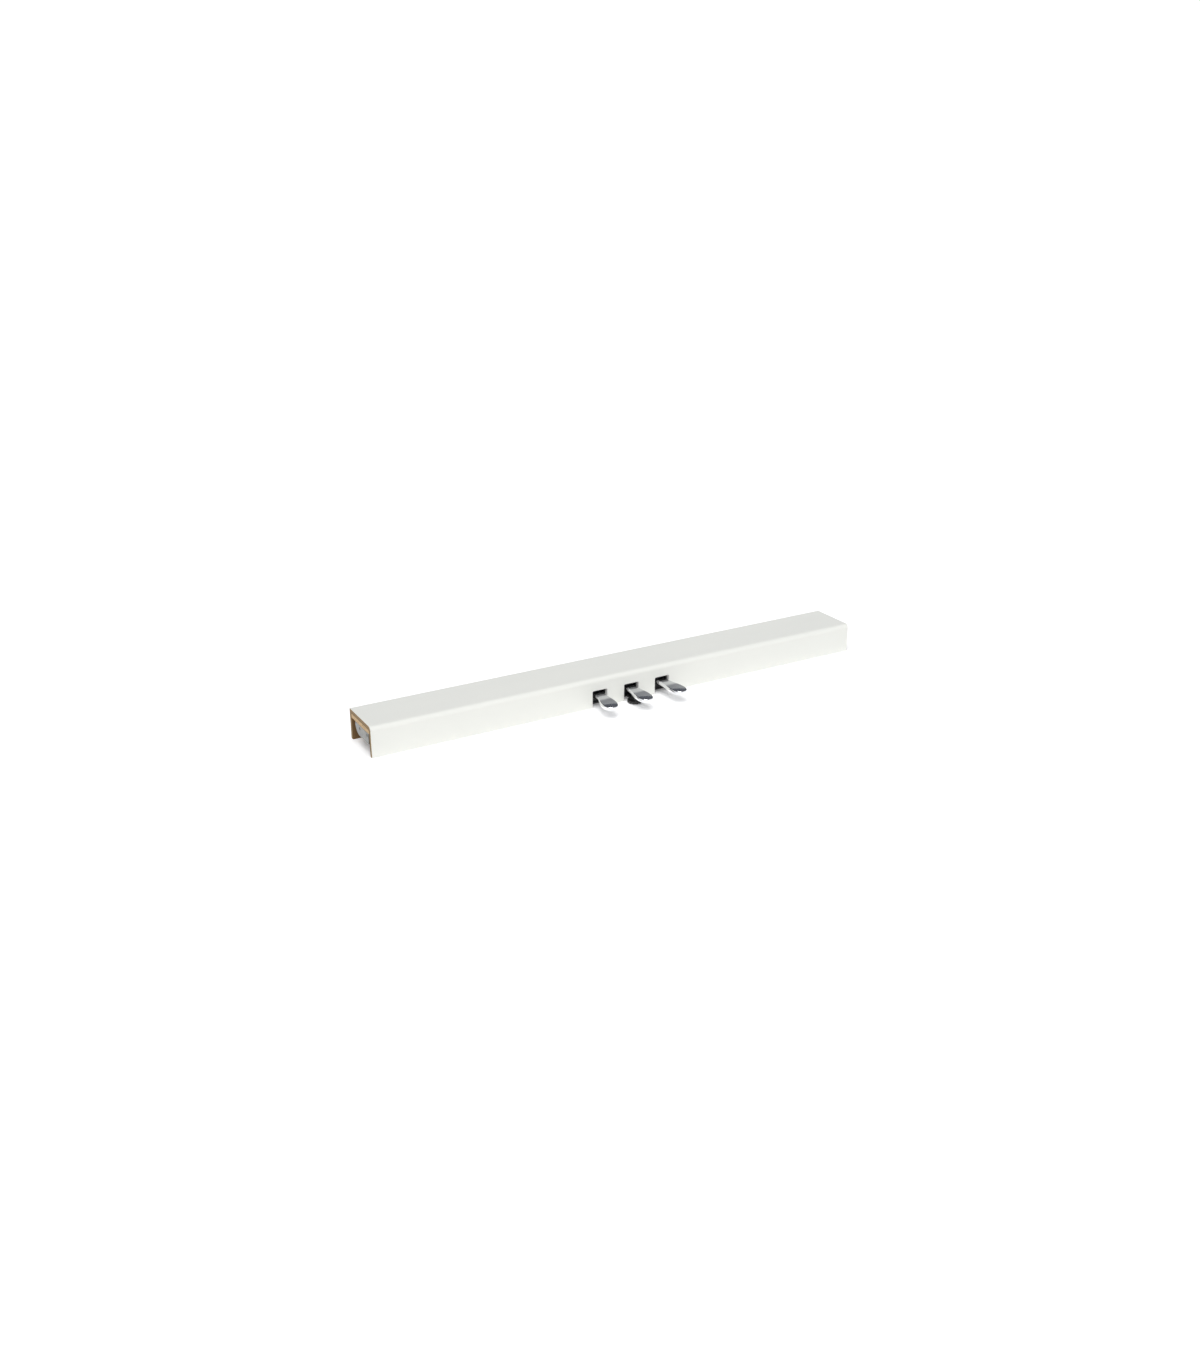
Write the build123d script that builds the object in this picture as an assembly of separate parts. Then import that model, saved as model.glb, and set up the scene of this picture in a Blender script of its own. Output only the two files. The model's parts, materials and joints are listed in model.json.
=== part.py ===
from build123d import *
import math
import os

os.makedirs("parts", exist_ok=True)

# A triple pedal bar that spans the legs of a slab-style digital piano stand.
# Millimetres. X runs along the bar, -Y is the player's side, +Z is up.
# The origin is the centre of the footprint, on the floor.

# Bar
BAR_LENGTH = 1220
BAR_DEPTH = 116
BAR_HEIGHT = 68
BOARD = 9
INNER_BOARD = 9
FOIL = 0.5
FRONT_EDGE_RADIUS = 10
BACK_EDGE_RADIUS = 1.5

# Pedals
PEDAL_REACH = 77
PEDAL_PITCH = 80
PEDAL_NAMES = ["soft", "sostenuto", "damper"]
PEDAL_FAN_DEG = [-7, 0, 7]
NECK_HALF = 12.5
TOE_HALF = 17.5
PEDAL_TOP = 32
PEDAL_SLOPE = 0.03
PEDAL_THICKNESS = 8.4

# Notches in the front board
NOTCH_WIDTH = 37
NOTCH_HEIGHT = 40
NOTCH_CORNER = 3
EDGING = 0.6

# Pivot, measured back from the front face and up from the floor
PIVOT_BACK = 70
PIVOT_Z = 27
PIN_RADIUS = 3
RUNNING_GAP = 0.05
BUSH_RADIUS = 5
HUB_RADIUS = 8
HUB_HALF = 10

# Housing
HOUSING_HALF = 120
HOUSING_WALL = 2.5
COVER_BOTTOM = 5.8
COVER_TOP = 8

# Height adjuster
ADJUSTER_BACK = -16
KNOB_RADIUS = 17.5
THREAD_RADIUS = 4
INSERT_TOP = 14.6
TONGUE_HALF = 9
TONGUE_THICKNESS = 2.6

# Places worked out from the sizes above
FRONT = (PEDAL_REACH - BAR_DEPTH) / 2
BACK = FRONT + BAR_DEPTH
HALF = BAR_LENGTH / 2
INNER_FRONT = FRONT + BOARD
INNER_BACK = BACK - BOARD
CEILING = BAR_HEIGHT - BOARD
SHELF = CEILING - INNER_BOARD
PEDAL_X = [-PEDAL_PITCH, 0, PEDAL_PITCH]
PIVOT_Y = FRONT + PIVOT_BACK
HOUSING_FRONT = INNER_FRONT + 0.3
HOUSING_BACK = INNER_BACK - 4
ARM_FRONT = FRONT + 14
ARM_TOP = PEDAL_TOP + PEDAL_SLOPE * 14
ARM_BOTTOM = ARM_TOP - PEDAL_THICKNESS
FAN_Y = FRONT + 6
EAR_GAP = HUB_HALF + 1.3
EAR = 2


def block(x0, x1, y0, y1, z0, z1):
    """A box between two corners."""
    centre = ((x0 + x1) / 2, (y0 + y1) / 2, (z0 + z1) / 2)
    return Pos(*centre) * Box(abs(x1 - x0), abs(y1 - y0), abs(z1 - z0))


def rod(radius, x, y, z0, z1):
    """An upright round bar."""
    return Pos(x, y, (z0 + z1) / 2) * Cylinder(radius, z1 - z0)


def rod_x(radius, x0, x1, y, z):
    """A round bar along X."""
    return Pos((x0 + x1) / 2, y, z) * Rot(0, 90, 0) * Cylinder(radius, abs(x1 - x0))


def rod_y(radius, x, y0, y1, z):
    """A round bar along Y."""
    return Pos(x, (y0 + y1) / 2, z) * Rot(90, 0, 0) * Cylinder(radius, y1 - y0)


def group(solids):
    """Separate solids kept together as one node."""
    return Compound(children=[part.solid() for part in solids])


def x_edges_at(shape, y, z):
    """The edges along X nearest to a height and depth."""
    edges = shape.edges().filter_by(Axis.X)
    return edges.sort_by(lambda e: abs(e.center().Y - y) + abs(e.center().Z - z))[:1]


def z_edges(shape):
    return shape.edges().filter_by(Axis.Z)


# ---- fasteners: every one points up, its head at the bottom ----

def wood_screw(x, y, head_z, length, radius=1.9, head=3.8):
    """Pan-head screw with a pointed end and a cross recess; the head hangs below head_z."""
    shank = rod(radius, x, y, head_z, head_z + length - 3)
    tip = Pos(x, y, head_z + length - 1.5) * Cone(radius, 0.3, 3)
    disc = rod(head, x, y, head_z - 2.2, head_z)
    disc = fillet(disc.edges().sort_by(Axis.Z)[:1], 1.2)
    recess = block(x - 1.9, x + 1.9, y - 0.4, y + 0.4, head_z - 3, head_z - 1)
    cross = recess + Pos(x, y, 0) * Rot(0, 0, 90) * Pos(-x, -y, 0) * recess
    return shank + tip + disc - cross


def machine_screw(x, y, head_z, length, radius=1.5, head=2.8):
    """Pan-head screw with a flat end and a cross recess."""
    shank = rod(radius, x, y, head_z, head_z + length)
    disc = rod(head, x, y, head_z - 1.8, head_z)
    disc = fillet(disc.edges().sort_by(Axis.Z)[:1], 0.9)
    recess = block(x - 1.4, x + 1.4, y - 0.3, y + 0.3, head_z - 2.5, head_z - 0.9)
    cross = recess + Pos(x, y, 0) * Rot(0, 0, 90) * Pos(-x, -y, 0) * recess
    return shank + disc - cross


def cut_all(shape, tools):
    for tool in tools:
        shape = shape - tool
    return shape


# ---- the wooden bar ----

def bar_solid(inset):
    """The outside of the bar, drawn in by inset at the front, top and back."""
    shape = block(-HALF, HALF, FRONT + inset, BACK - inset, 0, BAR_HEIGHT - inset)
    top = BAR_HEIGHT - inset
    shape = fillet(x_edges_at(shape, FRONT + inset, top), FRONT_EDGE_RADIUS - inset)
    return fillet(x_edges_at(shape, BACK - inset, top), BACK_EDGE_RADIUS - inset)


def notch(x, grow, y0, y1):
    """One pedal notch, open at the floor, with round top corners."""
    width = NOTCH_WIDTH / 2 + grow
    top = NOTCH_HEIGHT + grow
    shape = block(x - width, x + width, y0, y1, -10, top)
    corners = shape.edges().filter_by(Axis.Y).sort_by(Axis.Z)[-2:]
    return fillet(corners, NOTCH_CORNER + grow)


def bar_boards(wood_screws):
    """Front, top and back boards, butted at the underside of the top board."""
    core = bar_solid(FOIL) - block(-HALF, HALF, INNER_FRONT, INNER_BACK, -1, CEILING)
    legs = core & block(-HALF, HALF, FRONT, BACK, 0, CEILING)
    top = core & block(-HALF, HALF, FRONT, BACK, CEILING, BAR_HEIGHT)
    front = legs & block(-HALF, HALF, FRONT, INNER_FRONT, 0, CEILING)
    back = legs & block(-HALF, HALF, INNER_BACK, BACK, 0, CEILING)
    front = cut_all(front, [notch(x, EDGING, FRONT - 1, INNER_FRONT + 1) for x in PEDAL_X])
    return front, cut_all(top, wood_screws), back


def outer_foil():
    """The white wrap over the front, top and back."""
    skin = bar_solid(0) - bar_solid(FOIL) - block(-HALF, HALF, INNER_FRONT, INNER_BACK, -1, CEILING)
    return cut_all(skin, [notch(x, EDGING, FRONT - 1, INNER_FRONT + 1) for x in PEDAL_X])


def notch_edging():
    """White strip round the cut edge of each notch."""
    strips = []
    for x in PEDAL_X:
        strip = notch(x, EDGING, FRONT, INNER_FRONT) - notch(x, 0, FRONT - 1, INNER_FRONT + 1)
        strips.append(strip & block(x - 30, x + 30, FRONT, INNER_FRONT, 0, BAR_HEIGHT))
    return group(strips)


def inner_board(wood_screws):
    """Stiffening board glued and screwed under the top board."""
    board = block(-HALF, HALF, INNER_FRONT, INNER_BACK, SHELF, CEILING)
    return cut_all(board, wood_screws)


def joining_screws():
    """Screws that clamp the inner board to the top board."""
    places = [(side * x, y) for side in (-1, 1) for x in (200, 330, 460) for y in (10, 68)]
    return [wood_screw(x, y - 4, SHELF, 15) for x, y in places]


# ---- end brackets ----

BRACKET_FRONT = FRONT + 14
BRACKET_REAR = FRONT + 87
BRACKET_BOTTOM = 25
BRACKET_SHEET = 2
BRACKET_BEND = 1.5
BRACKET_FLANGE = 38
BOLT_RADIUS = 3.25
BOLT_Y = [FRONT + 22, FRONT + 62]
BOLT_Z = 42
BRACKET_SCREWS = [(26, FRONT + 24), (26, FRONT + 76), (14, FRONT + 44)]


def left_bracket():
    """Folded steel angle: one leg under the inner board, one leg flush with the bar's end."""
    x0 = -HALF
    plate = block(x0, x0 + BRACKET_SHEET, BRACKET_FRONT, BRACKET_REAR, BRACKET_BOTTOM, SHELF)
    low_edges = plate.edges().filter_by(Axis.X).sort_by(Axis.Z)[:2].sort_by(Axis.Y)
    plate = fillet(low_edges[-1:], 22)
    low_front = plate.edges().filter_by(Axis.X).sort_by(Axis.Z)[:2].sort_by(Axis.Y)
    plate = fillet(low_front[:1], 3)
    flange = block(x0, x0 + BRACKET_FLANGE, BRACKET_FRONT, BRACKET_REAR, SHELF - BRACKET_SHEET, SHELF)
    flange = fillet(z_edges(flange).sort_by(Axis.X)[-2:], 6)
    angle = plate + flange
    bend_y = (BRACKET_FRONT + BRACKET_REAR) / 2
    inside = angle.edges().filter_by(Axis.Y).sort_by(
        lambda e: abs(e.center().X - x0 - BRACKET_SHEET) + abs(e.center().Z - SHELF + BRACKET_SHEET)
        + 0.01 * abs(e.center().Y - bend_y)
    )
    angle = fillet(inside[:1], BRACKET_BEND)
    outside = angle.edges().filter_by(Axis.Y).sort_by(
        lambda e: abs(e.center().X - x0) + abs(e.center().Z - SHELF)
    )
    angle = fillet(outside[:1], BRACKET_BEND + BRACKET_SHEET)
    for y in BOLT_Y:
        angle = angle - rod_x(BOLT_RADIUS, x0 - 1, x0 + BRACKET_SHEET + 1, y, BOLT_Z)
    return angle


def bracket_screws():
    places = [(side * (HALF - inward), y) for side in (-1, 1) for inward, y in BRACKET_SCREWS]
    return [wood_screw(x, y, SHELF - BRACKET_SHEET, 17) for x, y in places]


# ---- pedals: one casting, hollow from below, with a hub at its rear ----

TIP = FRONT - PEDAL_REACH
POCKET_HALF = 10
POCKET_FRONT = FRONT - 34
POCKET_REAR = FRONT + 54
ROOF = 3.5
TAIL_END = PIVOT_Y + 22
TAIL_HALF = 4


def top_line(y):
    """Height of the pedal's top, which falls gently towards the toe."""
    return PEDAL_TOP + PEDAL_SLOPE * (y - FRONT)


def front_plan():
    """Outline of the neck and toe from above: a straight neck that swells into a broad round toe."""
    right = [
        Line((NECK_HALF, FAN_Y), (NECK_HALF, FRONT - 10)),
        Spline(
            (NECK_HALF, FRONT - 10), (NECK_HALF + 2.5, FRONT - 30), (TOE_HALF, TIP + 20), (TOE_HALF - 1.5, TIP + 8),
            (TOE_HALF - 7, TIP + 2), (0, TIP), tangents=[(0, -1), (-1, 0)],
        ),
    ]
    left = [mirror(curve, about=Plane.YZ) for curve in right]
    close = Line((NECK_HALF, FAN_Y), (-NECK_HALF, FAN_Y))
    return make_face(Curve() + right + left + [close])


def front_side():
    """Profile of the neck and toe from the side, in the YZ plane."""
    knots = [FAN_Y, TIP + 2.2]
    top = [(y, top_line(y)) for y in knots]
    nose = [(TIP + 0.6, top_line(TIP) - 1.2), (TIP, top_line(TIP) - 3.6), (TIP + 0.6, top_line(TIP) - 6.2)]
    bottom = [(y, top_line(y) - PEDAL_THICKNESS) for y in reversed(knots)]
    return make_face(Plane.YZ * Polyline(*top, *nose, *bottom, top[0]))


def pocket_side():
    """Side profile of the hollow under the neck; its roof follows the pedal's top."""
    roof = [(y, top_line(y) - ROOF) for y in (FAN_Y, POCKET_FRONT)]
    return make_face(Plane.YZ * Polyline(*roof, (POCKET_FRONT, 0), (FAN_Y, 0), roof[0]))


def pedal_front(fan):
    """Neck and toe, hollow from below, turned outwards by the pedal's fan angle."""
    plan = Pos(0, 0, 5) * extrude(front_plan(), 40)
    body = plan & Pos(-30, 0, 0) * extrude(front_side(), 60)
    top_edges = body.edges().filter_by(
        lambda e: abs(e.center().Z - top_line(e.center().Y)) < 1 and e.center().Y < FAN_Y - 1
    )
    sides = top_edges.filter_by(lambda e: abs(e.center().X) > 5)
    body = fillet(sides, 1)
    pocket = block(-POCKET_HALF, POCKET_HALF, POCKET_FRONT, FAN_Y, 0, 60)
    body = body - (pocket & Pos(-30, 0, 0) * extrude(pocket_side(), 60))
    return Pos(0, FAN_Y, 0) * Rot(0, 0, fan) * Pos(0, -FAN_Y, 0) * body


def pedal_arm():
    """Lever inside the housing: a channel, a waist, the hub and the tail."""
    shoulder = rod(NECK_HALF, 0, FAN_Y, ARM_BOTTOM - 0.5, ARM_TOP - 0.5)
    arm = block(-NECK_HALF, NECK_HALF, FAN_Y, PIVOT_Y - 22, ARM_BOTTOM, ARM_TOP)
    waist = block(-HUB_HALF, HUB_HALF, PIVOT_Y - 22, PIVOT_Y, ARM_BOTTOM, ARM_TOP)
    hub = rod_x(HUB_RADIUS, -HUB_HALF, HUB_HALF, PIVOT_Y, PIVOT_Z)
    tail = block(-TAIL_HALF, TAIL_HALF, PIVOT_Y, TAIL_END, 24, 30)
    wide_pocket = block(-POCKET_HALF, POCKET_HALF, FAN_Y - 8, PIVOT_Y - 25, 0, ARM_TOP - ROOF - 0.5)
    narrow_pocket = block(-7, 7, PIVOT_Y - 25, PIVOT_Y - 15, 0, ARM_TOP - ROOF - 0.5)
    return shoulder + arm + waist + hub + tail - wide_pocket - narrow_pocket


def pedal(x, fan):
    """The chromed casting, with its pivot bore and a tail for the sensor flag."""
    body = pedal_front(fan) + pedal_arm()
    joint = rod(POCKET_HALF - 0.5, 0, FAN_Y, 0, ARM_TOP - ROOF - 1.5)
    body = body - joint - rod_x(BUSH_RADIUS, -HUB_HALF, HUB_HALF, PIVOT_Y, PIVOT_Z)
    return Pos(x, 0, 0) * (body - flag_peg_hole())


def pedal_bushes(x):
    """Two flanged nylon bushes pressed into the hub from its sides."""
    bushes = []
    for side in (-1, 1):
        sleeve = rod_x(BUSH_RADIUS, side * 1.5, side * HUB_HALF, PIVOT_Y, PIVOT_Z)
        flange = rod_x(BUSH_RADIUS + 2, side * HUB_HALF, side * (HUB_HALF + 1), PIVOT_Y, PIVOT_Z)
        bore = rod_x(PIN_RADIUS + RUNNING_GAP, side, side * (HUB_HALF + 2), PIVOT_Y, PIVOT_Z)
        bushes.append(Pos(x, 0, 0) * (sleeve + flange - bore))
    return group(bushes)


def flag_peg_hole():
    """Hole in the tail for the peg under the sensor flag."""
    return rod(1.5, 0, PIVOT_Y + 13, 24, 30)


def sensor_flag(x):
    """Thin plastic flag that stands up from the tail and shades the sensor; a peg holds it."""
    foot = block(-TAIL_HALF, TAIL_HALF, PIVOT_Y + 10, TAIL_END, 30, 31.2)
    blade = block(-0.6, 0.6, PIVOT_Y + 17, TAIL_END, 31.2, 38.6)
    peg = rod(1.5, 0, PIVOT_Y + 13, 24, 30)
    return Pos(x, 0, 0) * (foot + blade + peg)


# ---- steel chassis that carries the pedals ----

CHASSIS_TOP = SHELF - HOUSING_WALL
CHASSIS_SHEET = 2
CHASSIS_HALF = 108
STOP_Z = 36


def chassis(screws):
    """Folded plate with six ears for the pivots and a front lip for the upper stops."""
    plate_z = CHASSIS_TOP - CHASSIS_SHEET
    front = HOUSING_FRONT + HOUSING_WALL + 0.5
    rear = PIVOT_Y + 16
    plate = block(-CHASSIS_HALF, CHASSIS_HALF, front, rear, plate_z, CHASSIS_TOP)
    wall = block(-CHASSIS_HALF, CHASSIS_HALF, front, front + CHASSIS_SHEET, STOP_Z, CHASSIS_TOP)
    lip = block(-CHASSIS_HALF, CHASSIS_HALF, front, front + 16, STOP_Z, STOP_Z + CHASSIS_SHEET)
    shape = plate + wall + lip
    for x in PEDAL_X:
        for side in (-1, 1):
            ear_x = x + side * (EAR_GAP + EAR / 2)
            ear = block(ear_x - EAR / 2, ear_x + EAR / 2, PIVOT_Y - 9, PIVOT_Y + 9, PIVOT_Z, plate_z)
            round_end = rod_x(9, ear_x - EAR / 2, ear_x + EAR / 2, PIVOT_Y, PIVOT_Z)
            shape = shape + ear + round_end
    for x in PEDAL_X:
        reach = EAR_GAP + EAR + 1
        shape = shape - rod_x(PIN_RADIUS, x - reach, x + reach, PIVOT_Y, PIVOT_Z)
    return cut_all(shape, screws)


def chassis_screws():
    """Screws through the chassis and the housing's roof into the boards."""
    places = [(side * x, FRONT + back) for side in (-1, 1) for x in (40, 101) for back in (36, 70)]
    return [wood_screw(x, y, CHASSIS_TOP - CHASSIS_SHEET, 20) for x, y in places]


def pivot_pins():
    """Steel pins with a groove near each end."""
    reach = EAR_GAP + EAR + 2.7
    pins = []
    for x in PEDAL_X:
        pin = rod_x(PIN_RADIUS, x - reach, x + reach, PIVOT_Y, PIVOT_Z)
        for side in (-1, 1):
            at = x + side * (EAR_GAP + EAR + 0.2)
            ring = rod_x(PIN_RADIUS + 1, at, at + side * 0.8, PIVOT_Y, PIVOT_Z)
            core = rod_x(PIN_RADIUS - 0.6, at, at + side * 0.8, PIVOT_Y, PIVOT_Z)
            pin = pin - (ring - core)
        pins.append(pin)
    return group(pins)


def pivot_clips():
    """Spring clips in the pins' grooves."""
    clips = []
    for x in PEDAL_X:
        for side in (-1, 1):
            at = x + side * (EAR_GAP + EAR + 0.2)
            ring = rod_x(5.6, at, at + side * 0.8, PIVOT_Y, PIVOT_Z)
            core = rod_x(PIN_RADIUS - 0.6, at, at + side * 0.8, PIVOT_Y, PIVOT_Z)
            mouth = block(at - 2, at + 2, PIVOT_Y - 1.6, PIVOT_Y + 1.6, PIVOT_Z - 8, PIVOT_Z)
            clips.append(ring - core - mouth)
    return group(clips)


# ---- stops and springs ----

PEDESTAL_TOP = 14.5
LOWER_STOP_TOP = 19
STOP_BACK = 16
SPRING_BACK = 38
SPRING_MEAN = 6.2
SPRING_WIRE = 0.8
SPRING_SEAT = 10
SPRING_TURNS = 6


def upper_stops():
    """Felt pads under the chassis lip."""
    y0 = HOUSING_FRONT + HOUSING_WALL + 3
    pads = [block(x - 12, x + 12, y0, y0 + 11, ARM_TOP + 0.3, STOP_Z) for x in PEDAL_X]
    return group(pads)


def lower_stops():
    """Rubber pads on the cover's pedestals."""
    y0 = FRONT + STOP_BACK
    pads = [block(x - 13, x + 13, y0, y0 + 9, PEDESTAL_TOP, LOWER_STOP_TOP) for x in PEDAL_X]
    return group([fillet(pad.edges().sort_by(Axis.Z)[-4:], 0.8) for pad in pads])


def return_spring(x):
    """Coil spring between the cover and the underside of the arm, its ends ground flat."""
    top = ARM_TOP - ROOF - 0.7
    height = top - SPRING_SEAT
    path = Helix(height / SPRING_TURNS, height, SPRING_MEAN)
    start = Plane(origin=path @ 0, z_dir=path % 0)
    coil = sweep(start * Circle(SPRING_WIRE), path, is_frenet=True)
    coil = Pos(x, FRONT + SPRING_BACK, SPRING_SEAT) * coil
    reach = 10
    y = FRONT + SPRING_BACK
    keep = block(x - reach, x + reach, y - reach, y + reach, SPRING_SEAT, top)
    return coil & keep


# ---- plastic housing ----

APERTURE_HALF = 15.5
APERTURE_TOP = 36
CORNER_POSTS = [(x, FRONT + back) for x in (-112, 112) for back in (26, 96)]
REAR_POSTS = [(x, FRONT + 97.5) for x in (-60, 60)]
REAR_POST_TOP = 20
SOCKET_X = 40
SOCKET_Z = 24
SOCKET_RADIUS = 8


def housing_shell(wood_screws, cover_screw_list):
    """Open-bottomed box under the inner board, with an opening for each neck."""
    outer = block(-HOUSING_HALF, HOUSING_HALF, HOUSING_FRONT, HOUSING_BACK, COVER_TOP, SHELF)
    outer = fillet(z_edges(outer), 4)
    wall = HOUSING_WALL
    inner = block(
        wall - HOUSING_HALF, HOUSING_HALF - wall, HOUSING_FRONT + wall, HOUSING_BACK - wall, 0, SHELF - wall
    )
    inner = fillet(z_edges(inner), 1.5)
    shell = outer - inner
    for x in (-HOUSING_HALF, HOUSING_HALF):
        side = math.copysign(1, x)
        ear = block(min(x, x + side * 14), max(x, x + side * 14), FRONT + 20, FRONT + 92, SHELF - 3, SHELF)
        shell = shell + fillet(z_edges(ear), 1.5)
    for x in PEDAL_X:
        hole = block(
            x - APERTURE_HALF, x + APERTURE_HALF, HOUSING_FRONT - 1, HOUSING_FRONT + wall + 1, 0, APERTURE_TOP
        )
        corners = hole.edges().filter_by(Axis.Y).sort_by(Axis.Z)[-2:]
        shell = shell - fillet(corners, 4)
    for x, y in CORNER_POSTS:
        shell = shell + rod(4, x, y, COVER_TOP, SHELF - wall)
    for x, y in REAR_POSTS:
        shell = shell + rod(4, x, y, COVER_TOP, REAR_POST_TOP)
    shell = shell - rod_y(SOCKET_RADIUS + 0.3, SOCKET_X, HOUSING_BACK - 4, HOUSING_BACK + 1, SOCKET_Z)
    shell = cut_all(shell, cover_screw_list)
    return cut_all(shell, wood_screws)


def cover_screws():
    """Screws up through the bottom cover into the shell's posts."""
    return [machine_screw(x, y, COVER_BOTTOM, 9) for x, y in CORNER_POSTS + REAR_POSTS]


def housing_screws():
    """Screws through the shell's side ears."""
    places = [(side * (HOUSING_HALF + 8), FRONT + back) for side in (-1, 1) for back in (28, 84)]
    return [wood_screw(x, y, SHELF - 3, 16) for x, y in places]


def bottom_cover(screws):
    """Tray that closes the housing, with stop pedestals, spring pegs and the adjuster's tongue."""
    plate = block(-HOUSING_HALF, HOUSING_HALF, HOUSING_FRONT, HOUSING_BACK, COVER_BOTTOM, COVER_TOP)
    shape = fillet(z_edges(plate), 4)
    for x in PEDAL_X:
        y0 = FRONT + STOP_BACK
        shape = shape + block(x - 14, x + 14, y0 - 1, y0 + 10, COVER_TOP, PEDESTAL_TOP)
        shape = shape + rod(8.5, x, FRONT + SPRING_BACK, COVER_TOP, SPRING_SEAT)
        shape = shape + rod(4.8, x, FRONT + SPRING_BACK, SPRING_SEAT, SPRING_SEAT + 5)
    tongue_y = FRONT + ADJUSTER_BACK
    tongue_top = COVER_TOP + TONGUE_THICKNESS
    tongue = block(-TONGUE_HALF, TONGUE_HALF, tongue_y, HOUSING_FRONT + 3, COVER_TOP, tongue_top)
    nose = rod(TONGUE_HALF + 1, 0, tongue_y, COVER_TOP, tongue_top)
    boss = rod(7.5, 0, tongue_y, COVER_TOP, INSERT_TOP)
    rib = block(-1.2, 1.2, tongue_y, FRONT + STOP_BACK, COVER_TOP, COVER_TOP + 5)
    shape = shape + tongue + nose + boss + rib
    shape = shape - rod(THREAD_RADIUS + 2, 0, tongue_y, COVER_TOP - 1, INSERT_TOP + 1)
    return cut_all(shape, screws)


# ---- height adjuster ----

KNOB_BOTTOM = 1.5
KNOB_TOP = 7.3
PAD_BOTTOM = 0.2
PAD_TOP = 1.2
SPIGOT_RADIUS = 2.5
STEM_TOP = 15.2
LOBES = 12


def adjuster_insert():
    """Brass threaded insert moulded into the tongue's boss."""
    y = FRONT + ADJUSTER_BACK
    body = rod(THREAD_RADIUS + 2, 0, y, COVER_TOP, INSERT_TOP)
    return body - rod(THREAD_RADIUS + RUNNING_GAP, 0, y, COVER_TOP - 1, INSERT_TOP + 1)


def adjuster_stem():
    """Threaded rod with a flange that is moulded into the knob."""
    y = FRONT + ADJUSTER_BACK
    stem = rod(THREAD_RADIUS, 0, y, 2, STEM_TOP)
    stem = chamfer(stem.edges().sort_by(Axis.Z)[-1:], 0.8)
    stem = stem + rod(7, 0, y, 3, 5)
    return stem - rod(SPIGOT_RADIUS + RUNNING_GAP, 0, y, 1, 6.6)


def adjuster_knob():
    """Round grip with scalloped rim."""
    y = FRONT + ADJUSTER_BACK
    knob = rod(KNOB_RADIUS, 0, y, KNOB_BOTTOM, KNOB_TOP)
    knob = fillet(knob.edges(), 1)
    for i in range(LOBES):
        angle = 2 * math.pi * i / LOBES
        out = KNOB_RADIUS + 1.9
        knob = knob - rod(3, out * math.cos(angle), y + out * math.sin(angle), 0, 10)
    knob = knob - rod(THREAD_RADIUS, 0, y, 0, 10) - rod(7, 0, y, 3, 5)
    return knob


def adjuster_pad():
    """Rubber floor pad that swivels on a spigot inside the stem."""
    y = FRONT + ADJUSTER_BACK
    disc = fillet(rod(13, 0, y, PAD_BOTTOM, PAD_TOP).edges().sort_by(Axis.Z)[:1], 0.4)
    return disc + rod(SPIGOT_RADIUS, 0, y, PAD_TOP, 6)


# ---- sensors ----

PCB_TOP = CHASSIS_TOP - CHASSIS_SHEET - 1.9
PCB_BOTTOM = PCB_TOP - 1.6
PCB_FRONT = PIVOT_Y + 10
PCB_REAR = HOUSING_BACK - HOUSING_WALL - 1
PCB_SCREWS = [(-96, 5), (-40, 5), (40, 5), (96, 5)]
SENSOR_Y = PIVOT_Y + 19.5
SENSOR_BOTTOM = 33.6
CONNECTOR_X = -40
CONNECTOR_BOTTOM = 34
WIRE_RADIUS = 0.7
WIRE_PITCH = 1.7


def board_screws():
    """Screws up through the circuit board and its spacers into the chassis."""
    return [machine_screw(x, PCB_FRONT + inward - 2.6, PCB_BOTTOM, 5.2, 1.3, 2.4) for x, inward in PCB_SCREWS]


def sensor_board(screws):
    board = block(-104, 104, PCB_FRONT, PCB_REAR, PCB_BOTTOM, PCB_TOP)
    return cut_all(board, screws)


def board_spacers(screws):
    """Plastic rings between the circuit board and the chassis."""
    rings = []
    for (x, inward), screw in zip(PCB_SCREWS, screws):
        ring = rod(2.6, x, PCB_FRONT + inward - 2.6, PCB_TOP, CHASSIS_TOP - CHASSIS_SHEET)
        rings.append(ring - screw)
    return group(rings)


def pedal_sensor(x):
    """U-shaped light gate that straddles the pedal's flag."""
    body = block(x - 6, x + 6, SENSOR_Y - 3, SENSOR_Y + 3, SENSOR_BOTTOM, PCB_BOTTOM)
    return body - block(x - 2.2, x + 2.2, SENSOR_Y - 4, SENSOR_Y + 4, SENSOR_BOTTOM - 1, PCB_BOTTOM - 1.1)


def board_connector():
    """Header for the four sensor wires."""
    y = SENSOR_Y
    return block(CONNECTOR_X - 4, CONNECTOR_X + 4, y - 4.6, y + 4.6, CONNECTOR_BOTTOM, PCB_BOTTOM)


def board_parts():
    """Resistors and a capacitor on the board's underside."""
    low = PCB_BOTTOM - 1.4
    parts = [block(x - 2.2, x + 2.2, SENSOR_Y - 1, SENSOR_Y + 1, low, PCB_BOTTOM) for x in (-62, -20, 20, 58)]
    parts.append(rod(3, 40, SENSOR_Y, PCB_BOTTOM - 6.5, PCB_BOTTOM))
    return group(parts)


def wire_route(offset):
    """Down from the header, along the back of the tray and into the rear socket."""
    y = SENSOR_Y + offset
    low = 14
    start = (CONNECTOR_X, y, CONNECTOR_BOTTOM)
    return [start, (CONNECTOR_X, y, low), (SOCKET_X, y, low), (SOCKET_X, y, SOCKET_Z)]


def sensor_wires():
    """Four insulated wires that run side by side."""
    wires = []
    for i in range(4):
        offset = (i - 1.5) * WIRE_PITCH
        corners = wire_route(offset)
        path = FilletPolyline(*corners, radius=7)
        start = Plane(origin=path @ 0, z_dir=path % 0)
        wires.append(sweep(start * Circle(WIRE_RADIUS), path))
    return group(wires)


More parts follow.
